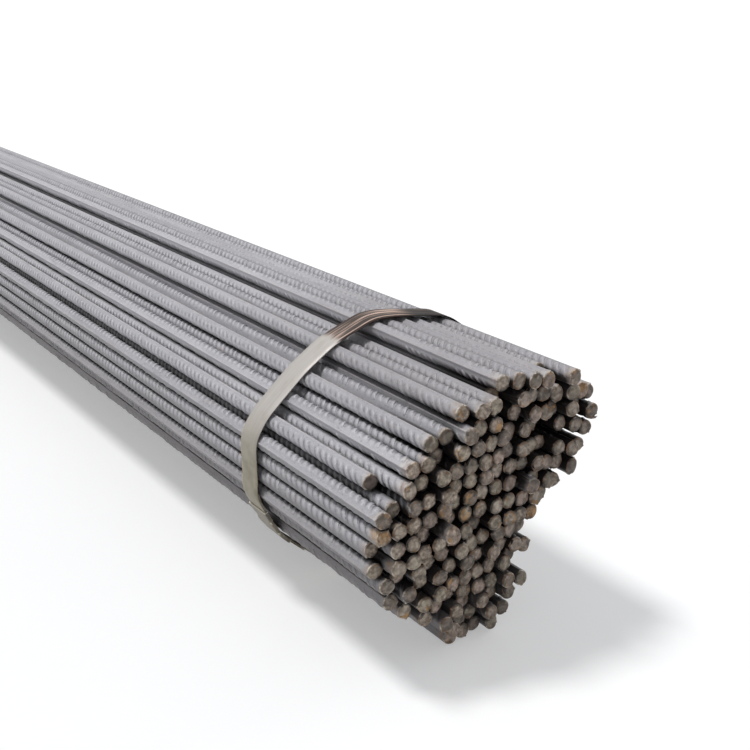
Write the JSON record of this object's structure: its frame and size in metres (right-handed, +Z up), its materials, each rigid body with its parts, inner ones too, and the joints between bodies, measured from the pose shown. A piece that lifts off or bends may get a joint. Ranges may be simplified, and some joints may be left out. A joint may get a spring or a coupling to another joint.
{
  "type": "rebar bundle",
  "caption": "Round bundle of long ribbed reinforcing bars with ragged ends, held by crimped steel bands.",
  "frame": {"origin": "middle of the footprint, on the floor that the bands rest on", "axes": "+X along the bars, +Z up"},
  "size_m": [6.0526, 0.2712, 0.2743],
  "materials": {
    "bar_steel": "hot-rolled steel with dull blue-grey mill scale, slight sheen, specks of rust; sheared ends brown-grey",
    "band_steel": "steel strapping gone dull and yellowish, brighter at its edges, with rusty streaks",
    "seal_steel": "dull crimped steel, brighter where it was nipped"
  },
  "bodies": {
    "root": {"bar_layer_01": "bar_steel", "bar_layer_02": "bar_steel", "bar_layer_03": "bar_steel", "bar_layer_04": "bar_steel", "bar_layer_05": "bar_steel", "bar_layer_06": "bar_steel", "bar_layer_07": "bar_steel", "bar_layer_08": "bar_steel", "bar_layer_09": "bar_steel", "bar_layer_10": "bar_steel", "bar_layer_11": "bar_steel", "bar_layer_12": "bar_steel", "bar_layer_13": "bar_steel", "bar_layer_14": "bar_steel", "bar_layer_15": "bar_steel", "bar_layer_16": "bar_steel", "band_1": "band_steel", "band_2": "band_steel", "band_3": "band_steel", "band_4": "band_steel", "band_seal_1": "seal_steel", "band_seal_2": "seal_steel", "band_seal_3": "seal_steel", "band_seal_4": "seal_steel"}
  },
  "joints": []
}
